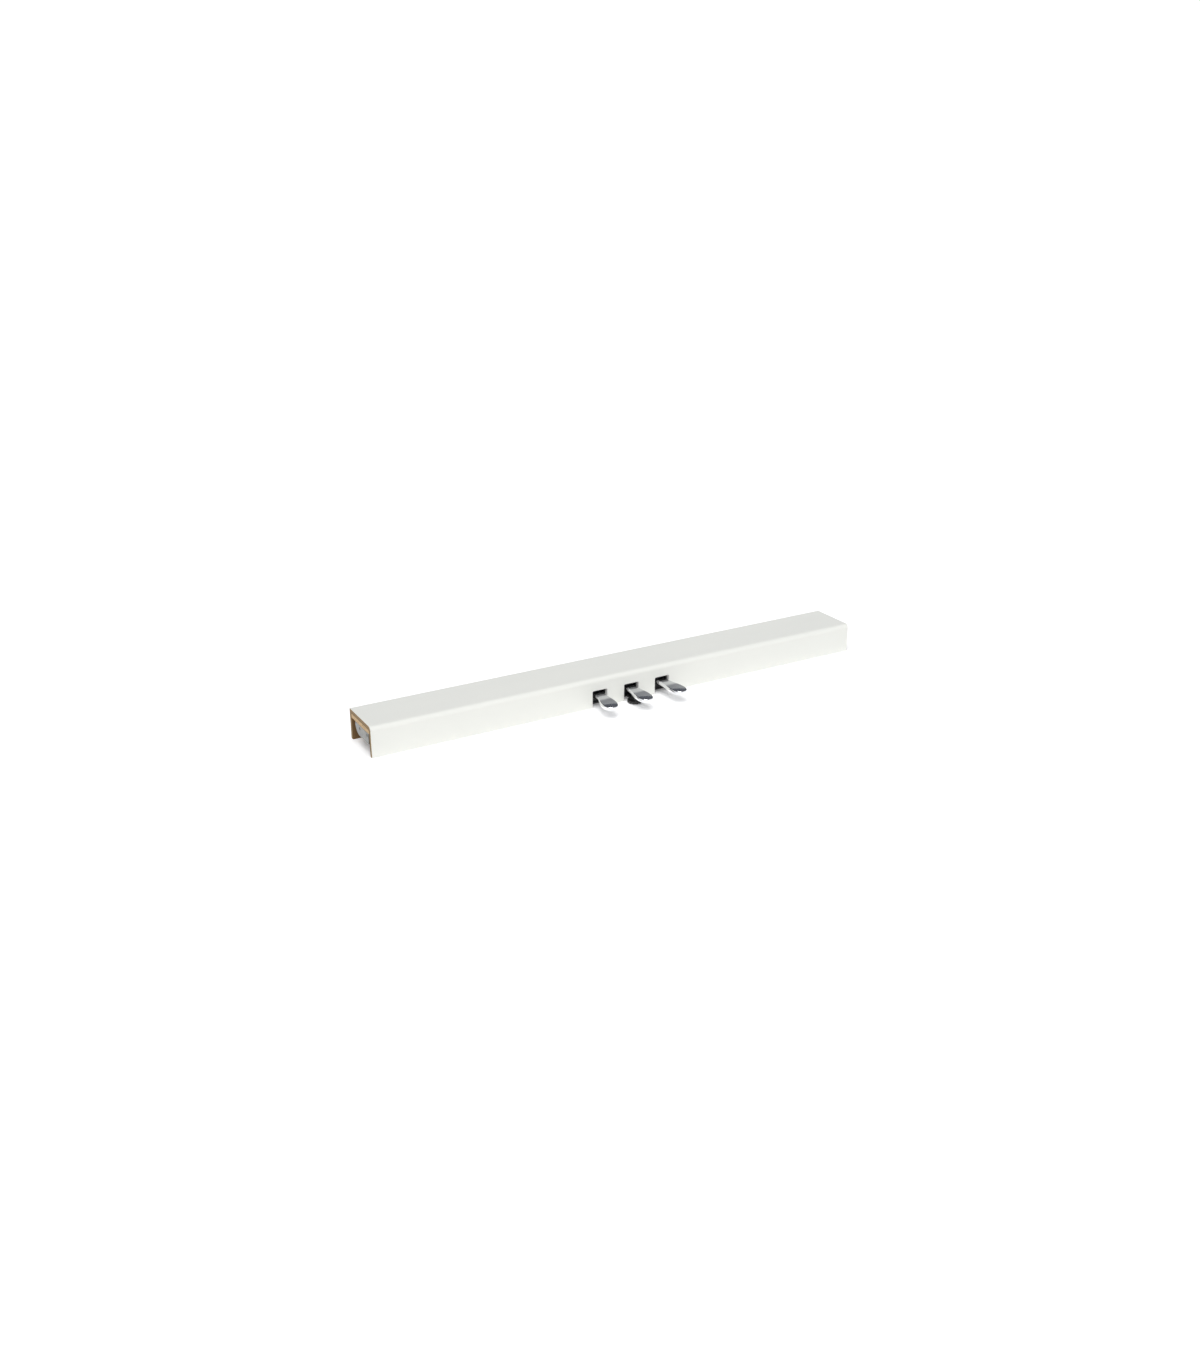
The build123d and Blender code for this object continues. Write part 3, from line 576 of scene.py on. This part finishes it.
# all along the lever, measured forwards from the point where the toes fan out
pedal = {
    "fanInset": 6,              # that point, behind the bar's front face
    "fan": {"soft": -7, "sostenuto": 0, "damper": 7},
    "neckHalf": 12.5,
    "toeHalf": 17.5,
    "waistHalf": 10,
    "swell": (16, 57),          # the neck widens into the toe between these
    "tip": 83,
    "toeRound": 2.5,            # exponent of the toe's outline; 2 is an ellipse
    "rear": -54,
    "rearRound": 4,
    "top": 32,                  # height at the front face
    "slope": 0.03,
    "armFlat": 14,              # the top is level from here back
    "waist": (-39, -45),        # the arm narrows to its waist between these
    "thickness": 8.4,
    "crown": 0.4,
    "rimNeck": (3.2, 2.7),      # depth of the rounded side and its squareness
    "rimToe": (3.0, 3.2),
    "rimUnder": 0.35,           # the lower edge is drawn in less
    "pocket": (38, -46),
    "pocketHalf": (9.8, 7),
    "pocketRound": 4,
    "pocketTaper": (-34, -40),  # the hollow narrows between these
    "roof": 3.5,
    "hubRadius": 8,
    "boreRadius": 5,
    "hubHalf": 10,
    "tailHalf": 4,
    "tailDepth": 3,
    "tailStart": 6.5,           # behind the pivot
    "tailEnd": 22,
    "points": 420,
}


# half the lever's width: waist, arm and neck joined by two even S curves
def leverHalf(s):
    start, end = pedal["swell"]
    swell = ease((s - start) / (end - start)) * (pedal["toeHalf"] - pedal["neckHalf"])
    wide, narrow = pedal["waist"]
    waist = ease((wide - s) / (wide - narrow)) * (pedal["neckHalf"] - pedal["waistHalf"])
    return pedal["neckHalf"] + swell - waist


# height of the top: a flat arm, then one gentle slope down to the tip
def leverTop(s):
    out = np.maximum(s - pedal["fanInset"], -pedal["armFlat"])
    return pedal["top"] - pedal["slope"] * out


# a closed loop of (across, along) points spread evenly by length, from its front middle round to the right
def evenLoop(right, count):
    loop = np.concatenate([right, (right * (-1, 1))[-2:0:-1], right[:1]])
    length = np.concatenate([[0], np.cumsum(np.linalg.norm(np.diff(loop, axis=0), axis=1))])
    even = np.linspace(0, length[-1], count, endpoint=False)
    return np.stack([np.interp(even, length, loop[:, k]) for k in (0, 1)], axis=1)


# outline from above: a rounded toe (superellipse), the sides, and a rounded rear
def leverOutline():
    toe, neckEnd = pedal["toeHalf"], pedal["swell"][1]
    power = 2 / pedal["toeRound"]
    t = np.linspace(0, np.pi / 2, 400)
    reach = pedal["tip"] - neckEnd
    front = np.stack([toe * np.sin(t) ** power, neckEnd + reach * np.cos(t) ** power], 1)
    s = np.linspace(neckEnd, pedal["rear"], 400)[1:]
    side = np.stack([leverHalf(s), s], 1)
    t = t[1:]
    rear = np.stack([
        pedal["waistHalf"] * np.cos(t) ** 0.5, pedal["rear"] - pedal["rearRound"] * np.sin(t) ** 0.5
    ], 1)
    return evenLoop(np.concatenate([front, side, rear]), pedal["points"])


# the hollow below: straight sides with rounded ends, narrower near the hub
def pocketOutline(shrink):
    front, rear = pedal["pocket"]
    wide, narrow = pedal["pocketHalf"]
    r = pedal["pocketRound"]
    first, last = pedal["pocketTaper"]
    t = np.linspace(0, np.pi / 2, 60)
    s = np.linspace(front - r, rear + r, 200)[1:-1]
    half = wide - (wide - narrow) * ease((first - s) / (first - last)) - shrink
    ahead = np.stack([(wide - shrink) * np.sin(t) ** 0.5, front - r + (r - shrink) * np.cos(t) ** 0.5], 1)
    side = np.stack([half, s], 1)
    behind = np.stack([(narrow - shrink) * np.cos(t) ** 0.5, rear + r - (r - shrink) * np.sin(t) ** 0.5], 1)
    return evenLoop(np.concatenate([ahead, side, behind]), pedal["points"])


# flat points (across, along) and heights follow the lever's centre line, which turns by the fan angle
def bentLever(across, along, height, x, fan):
    s = np.linspace(-70, 90, 640)
    heading = np.radians(fan) * ease((s + 7) / 14)
    step = s[1] - s[0]
    lineX = np.cumsum(np.sin(heading)) * step
    lineY = -np.cumsum(np.cos(heading)) * step
    zero = np.searchsorted(s, -30)
    startY = barFront + pedal["fanInset"]
    lineX = lineX - lineX[zero] + x
    lineY = lineY - lineY[zero] + startY - s[zero]
    turn = np.interp(along, s, heading)
    px = np.interp(along, s, lineX) + across * np.cos(turn)
    py = np.interp(along, s, lineY) + across * np.sin(turn)
    return np.stack([px, py, height], axis=-1)


# rings from the middle of the top, over the rounded rim, under and up into the hollow
def leverBody(name, x, fan):
    outline = leverOutline()
    tangent = np.roll(outline, -1, axis=0) - np.roll(outline, 1, axis=0)
    tangent /= np.linalg.norm(tangent, axis=1, keepdims=True)
    outward = np.stack([-tangent[:, 1], tangent[:, 0]], axis=1)
    toward = ease((outline[:, 1] - 10) / 30)
    depth = pedal["rimNeck"][0] + toward * (pedal["rimToe"][0] - pedal["rimNeck"][0])
    square = pedal["rimNeck"][1] + toward * (pedal["rimToe"][1] - pedal["rimNeck"][1])
    phi = np.radians(np.linspace(90, -90, 33))[:, None]
    power = 2 / square
    inset = depth * (1 - np.abs(np.cos(phi)) ** power) * np.where(phi > 0, 1, pedal["rimUnder"])
    drop = pedal["thickness"] / 2 * (1 - np.sign(np.sin(phi)) * np.abs(np.sin(phi)) ** power)
    rim = outline - outward * inset[..., None]
    middle = np.clip(outline[:, 1], pedal["rear"] + pedal["rearRound"], pedal["tip"] - 15)
    spine = np.stack([np.zeros(len(outline)), middle], axis=1)
    fill = np.linspace(1, 0, 8)[:-1, None, None]
    cap = rim[0] * (1 - fill) + spine * fill
    flat = np.concatenate([cap, rim])
    down = np.concatenate([np.zeros(cap.shape[:2]), drop])
    height = leverTop(flat[..., 1]) - pedal["crown"] * (flat[..., 0] / pedal["toeHalf"]) ** 2 - down

    under = [pocketOutline(k) for k in (0, 0.2, 0.8, 1.4)]
    roof = pedal["thickness"] - pedal["roof"]
    rise = [0.0, 0.5, roof - 0.6, roof]
    roofSpine = under[-1] * (0, 1)
    roofSpine[:, 1] = np.clip(roofSpine[:, 1], pedal["pocket"][1] + 6, pedal["pocket"][0] - 8)
    low = np.stack([*under, under[-1] * 0.5 + roofSpine * 0.5, roofSpine])
    lift = np.array([*rise, rise[-1], rise[-1]])[:, None]
    lowHeight = leverTop(low[..., 1]) - pedal["thickness"] + lift
    points = bentLever(
        np.concatenate([flat[..., 0], low[..., 0]]),
        np.concatenate([flat[..., 1], low[..., 1]]),
        np.concatenate([height, lowHeight]), x, fan,
    )
    return gridMesh(name, points, sharp=50)


# the hub: a ring round the pivot with small chamfers
def leverHub(x, y, z):
    outer, bore, half = pedal["hubRadius"], pedal["boreRadius"], pedal["hubHalf"]
    profile = [
        (bore, -half + 0.4), (bore + 0.4, -half), (outer - 0.8, -half), (outer, -half + 0.8),
        (outer, half - 0.8), (outer - 0.8, half), (bore + 0.4, half), (bore, half - 0.4),
        (bore, -half + 0.4),
    ]
    return turned("hub", profile, (x, y, z), "X")


# the tail behind the hub: a rounded bar (superellipse section) with a blunt end
def leverTail(x, y, z):
    start, end = pedal["tailStart"], pedal["tailEnd"]
    corner = np.linspace(0.3, np.pi / 2, 5)
    along = np.concatenate([[start], np.linspace(start, end - 1, 12), end - 1 + np.sin(corner), [end]])
    scale = np.concatenate([[0.001], np.ones(12), np.cos(corner) * 0.25 + 0.75, [0.001]])
    t = np.linspace(0, 2 * np.pi, 48, endpoint=False)
    section = [np.sign(f(t)) * np.abs(f(t)) ** 0.35 for f in (np.cos, np.sin)]
    px = x + pedal["tailHalf"] * scale[:, None] * section[0]
    pz = z + pedal["tailDepth"] * scale[:, None] * section[1]
    py = np.broadcast_to((y + along)[:, None], px.shape)
    return gridMesh("tail", np.stack([px, py, pz], axis=-1))


for name in pedalNames:
    pivot = [value / mm for value in hinges[name + "_pedal_hinge"]["pos_m"]]
    body = leverBody("lever", pivot[0], pedal["fan"][name])
    parts = [body, leverHub(*pivot), leverTail(*pivot)]
    casting = fused(name + "_pedal_casting", parts)
    dress(casting, "chrome_plate", "chrome_plate", name + "_pedal_body", name + "_pedal")


spring = {
    "wire": 0.8,
    "mean": 6.2,
    "turns": 7.5,
    "closed": 1.2,              # turns at each end that lie flat
    "closedPitch": 1.7,
    "shortened": 2.8,           # how far a full press closes it
}


# a helix whose height runs level at both ends and climbs evenly between
def springPath(low, high, x, y):
    t = np.linspace(0, 1, 720)
    flat = spring["closed"] / spring["turns"]
    closedRise = spring["closedPitch"] * spring["closed"]
    free = (high - low) - 2 * (closedRise + spring["wire"])
    levels = [0, closedRise, closedRise + free, 2 * closedRise + free]
    climb = np.interp(t, [0, flat, 1 - flat, 1], levels)
    kernel = np.hanning(61) / np.hanning(61).sum()
    climb = np.convolve(np.pad(climb, 30, "edge"), kernel, "valid")
    angle = t * spring["turns"] * 2 * np.pi
    px = x + spring["mean"] * np.cos(angle)
    py = y + spring["mean"] * np.sin(angle)
    return np.stack([px, py, low + spring["wire"] + climb], axis=1)


for name in pedalNames:
    low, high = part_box(name + "_pedal_spring")
    centre = (low + high) / 2 / mm
    path = springPath(low.z / mm, high.z / mm, centre.x, centre.y)
    points = wireAlong(path, spring["wire"])
    points[..., 2] = np.clip(points[..., 2], low.z / mm, high.z / mm)
    coil = gridMesh(name + "_pedal_coil", points)
    dress(coil, "spring_steel", "spring_steel", "bar", name + "_pedal_spring")
    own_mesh(coil)


knob = {
    "scallops": 12,
    "scallopDepth": 1.5,
    "boreRadius": 4.0,
    "rimRound": 1.2,
}
thread = {
    "outer": 4.0,
    "pitch": 1.25,
    "depth": 0.62,
    "boreRadius": 2.55,
    "boreTop": 6.6,
}


# a turned grip whose rim is drawn in by a rounded wave; the wave fades towards the middle
def adjusterKnob():
    low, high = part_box("adjuster_knob")
    centre = (low + high) / 2 / mm
    outer = (high.x - low.x) / 2 / mm
    bottom, top = low.z / mm, high.z / mm
    r = knob["rimRound"]
    corner = np.linspace(0, np.pi / 2, 8)
    topEdge = [(outer - r + r * math.sin(a), top - r + r * math.cos(a)) for a in corner]
    lowEdge = [(outer - r + r * math.cos(a), bottom + r - r * math.sin(a)) for a in corner]
    bore = knob["boreRadius"]
    profile = [
        (bore, bottom), (bore, top - 0.3), (bore + 0.3, top), (8.2, top), (8.6, top - 0.6),
        (11.2, top - 0.6),
        (11.6, top), (outer - 2.6, top), *topEdge, *lowEdge, (outer - 2.6, bottom), (12, bottom),
        (8, bottom), (bore, bottom),
    ]
    radius, height = np.array(profile, float).T
    angle = np.linspace(0, 2 * np.pi, 288, endpoint=False)
    wave = (0.5 + 0.5 * np.cos(knob["scallops"] * angle)) ** 1.6
    fade = ease((radius - 11.4) / 3.5)[:, None]
    reach = radius[:, None] - knob["scallopDepth"] * fade * wave
    px = centre.x + reach * np.cos(angle)
    py = centre.y + reach * np.sin(angle)
    pz = np.broadcast_to(height[:, None], px.shape)
    return gridMesh("adjuster_grip", np.stack([px, py, pz], axis=-1), sharp=40)


# a bar whose radius falls and rises once a turn, so that its crest climbs as a right-hand thread
def adjusterStem():
    low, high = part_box("adjuster_stem")
    centre = (low + high) / 2 / mm
    bottom, top = low.z / mm, high.z / mm
    outer = thread["outer"]
    bore, boreTop = thread["boreRadius"], thread["boreTop"]
    heights = np.linspace(bottom + 0.4, top - 0.8, 300)
    steady = [(0.0, boreTop), (bore, boreTop), (bore, bottom), (outer - 0.4, bottom)]
    ends = [(outer - 0.8, top), (0.0, top)]
    profile = np.array([*steady, *[(outer, z) for z in heights], *ends], float)
    radius, height = profile.T
    cut = np.zeros(len(profile))
    cut[len(steady):-len(ends)] = ease((heights - 7.4) / 1.2)
    angle = np.linspace(0, 2 * np.pi, 64, endpoint=False)
    phase = height[:, None] / thread["pitch"] - angle / (2 * np.pi)
    tooth = 1 - np.abs(2 * (phase - np.floor(phase)) - 1)
    reach = radius[:, None] - thread["depth"] * cut[:, None] * np.clip(tooth * 1.3 - 0.15, 0, 1)
    px = centre.x + reach * np.cos(angle)
    py = centre.y + reach * np.sin(angle)
    pz = np.broadcast_to(height[:, None], px.shape)
    return gridMesh("adjuster_screw", np.stack([px, py, pz], axis=-1), sharp=50)


dress(adjusterKnob(), "knob_plastic", "knob_plastic", "adjuster_knob_body", "adjuster_knob")
dress(adjusterStem(), "bright_steel", "bright_steel", "adjuster_knob_body", "adjuster_stem")


pads = {
    "feltHalf": 12,
    "feltRound": 0.9,
    "rubberHalf": 13,
    "rubberRound": 0.8,
}


# a soft block: points of a sphere pushed out towards a box, so edges stay round and faces slightly full
def softBlock(low, high, edge):
    half = (np.array(high) - np.array(low)) / 2
    centre = (np.array(high) + np.array(low)) / 2
    polar = np.linspace(0, np.pi, 41)[:, None]
    around = np.linspace(0, 2 * np.pi, 96, endpoint=False)
    unit = np.stack(np.broadcast_arrays(
        np.sin(polar) * np.cos(around), np.sin(polar) * np.sin(around), np.cos(polar)), axis=-1)
    box = unit / np.max(np.abs(unit), axis=-1, keepdims=True)
    bowed = box * (1 - 0.04 * np.sum(box ** 2 - 1, axis=-1, keepdims=True) / 2)
    return gridMesh("block", centre + bowed * (half - edge) + unit * edge, sharp=60)


# one block under or over each pedal; the depth and height come from the part it stands for
def padRow(name, node, half, edge):
    low, high = [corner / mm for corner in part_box(node)]
    middles = [hinges[pedalName + "_pedal_hinge"]["pos_m"][0] / mm for pedalName in pedalNames]
    blocks = [softBlock((x - half, low.y, low.z), (x + half, high.y, high.z), edge) for x in middles]
    return fused(name, blocks, 60)


# the floor pad: a dished disc with a rounded rim, turned, on the spigot that carries it
def floorPad():
    low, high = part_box("adjuster_pad")
    centre = (low + high) / 2 / mm
    outer, bottom, top = (high.x - low.x) / 2 / mm, low.z / mm, high.z / mm
    corner = np.linspace(0, np.pi / 2, 6)
    rim = [(outer - 0.4 + 0.4 * math.cos(a), bottom + 0.4 - 0.4 * math.sin(a)) for a in corner]
    profile = [
        (0, top), (2.1, top), (2.5, top - 0.4), (2.5, 1.2), (outer - 0.2, 1.2), (outer, 1.0), *rim,
        (10.4, bottom), (10.0, bottom + 0.25), (9.0, bottom + 0.25), (8.6, bottom), (6.4, bottom),
        (6.0, bottom + 0.25), (5.0, bottom + 0.25), (4.6, bottom), (0, bottom),
    ]
    return turned("adjuster_foot", profile, (centre.x, centre.y, 0), sharp=40)


felts = padRow("stop_felts", "upper_stop_felts", pads["feltHalf"], pads["feltRound"])
dress(felts, "stop_felt", "stop_felt", "bar", "upper_stop_felts")
rubbers = padRow("stop_rubbers", "lower_stop_pads", pads["rubberHalf"], pads["rubberRound"])
dress(rubbers, "stop_rubber", "stop_rubber", "bar", "lower_stop_pads")
dress(floorPad(), "stop_rubber", "stop_rubber", "adjuster_pad_body", "adjuster_pad")


studio = {
    "floorHalf": 60.0,
    "floorColour": (0.97, 0.97, 0.97),
    "floorGlow": 0.18,           # the floor is lit a little from below, like a light table
    "sky": [                     # sine of the height above the horizon, and the brightness there
        (0.00, (1.10, 1.10, 1.10)),
        (0.10, (1.10, 1.10, 1.10)),
        (0.34, (0.42, 0.43, 0.45)),
        (0.60, (0.19, 0.20, 0.225)),
        (0.80, (0.10, 0.105, 0.12)),
        (1.00, (0.10, 0.105, 0.12)),
    ],
    "lamps": [                   # azimuth from the front, height, spread in degrees, strength
        (-35, 68, 50, 2.5),
        (40, 55, 60, 0.2),
    ],
}


# where a direction given as azimuth from the front and height above the floor points
def aimed(azimuth, height):
    a, e = math.radians(azimuth), math.radians(height)
    return Vector((math.sin(a) * math.cos(e), -math.cos(a) * math.cos(e), math.sin(e)))


def makeFloor():
    half = studio["floorHalf"]
    mesh = bpy.data.meshes.new("floor")
    corners = [(-half, -half, 0), (half, -half, 0), (half, half, 0), (-half, half, 0)]
    mesh.from_pydata(corners, [], [(0, 1, 2, 3)])
    floor = bpy.data.objects.new("floor", mesh)
    bpy.context.scene.collection.objects.link(floor)
    material, place = newFinish("pale floor")
    haze = place.noise(900, 2)
    closeFinish(place, {
        "Base Color": haze.colours(studio["floorColour"], [0.99 * c for c in studio["floorColour"]]),
        "Roughness": haze.between(0.88, 0.92),
        "Specular IOR Level": 0.1,
        "Emission Color": (1, 1, 1, 1),
        "Emission Strength": studio["floorGlow"],
    })
    mesh.materials.append(material)


def makeSky():
    world = bpy.data.worlds.new("studio")
    bpy.context.scene.world = world
    world.use_nodes = True
    world.node_tree.nodes.clear()
    start = Value(world.node_tree)
    up = start.node("ShaderNodeTexCoord", {}, {}, "Generated").part("Z")
    glow = up.stops(*studio["sky"])
    light = start.node("ShaderNodeBackground", {}, {"Color": glow, "Strength": 1.0})
    start.node("ShaderNodeOutputWorld", {}, {"Surface": light})


def makeLamps():
    for number, (azimuth, height, spread, strength) in enumerate(studio["lamps"]):
        lamp = bpy.data.lights.new("softbox" + str(number), "SUN")
        lamp.energy = strength
        lamp.angle = math.radians(spread)
        held = bpy.data.objects.new(lamp.name, lamp)
        bpy.context.scene.collection.objects.link(held)
        held.rotation_mode = "QUATERNION"
        held.rotation_quaternion = aimed(azimuth, height).to_track_quat("Z", "Y")


camera = {
    "target": (-80.1, 0, 49.3),  # millimetres, measured back from the bar's front face
    "azimuth": -30.175,
    "height": 22.419,
    "distance": 2.9995,
    "roll": 0.112,
    "lens": 36.14,
    "sensor": 36,
}


def makeCamera():
    data = bpy.data.cameras.new("camera")
    data.lens = camera["lens"]
    data.sensor_width = camera["sensor"]
    eye = bpy.data.objects.new("camera", data)
    bpy.context.scene.collection.objects.link(eye)
    back = aimed(camera["azimuth"], camera["height"])
    target = (Vector(camera["target"]) + Vector((0, barFront, 0))) * mm
    eye.location = target + back * camera["distance"]
    eye.rotation_mode = "QUATERNION"
    level = (-back).to_track_quat("-Z", "Y")
    eye.rotation_quaternion = level @ Quaternion((0, 0, 1), math.radians(camera["roll"]))
    bpy.context.scene.camera = eye


makeFloor()
makeSky()
makeLamps()
makeCamera()
bpy.context.scene.view_settings.view_transform = "Standard"
print("floor, light and camera")
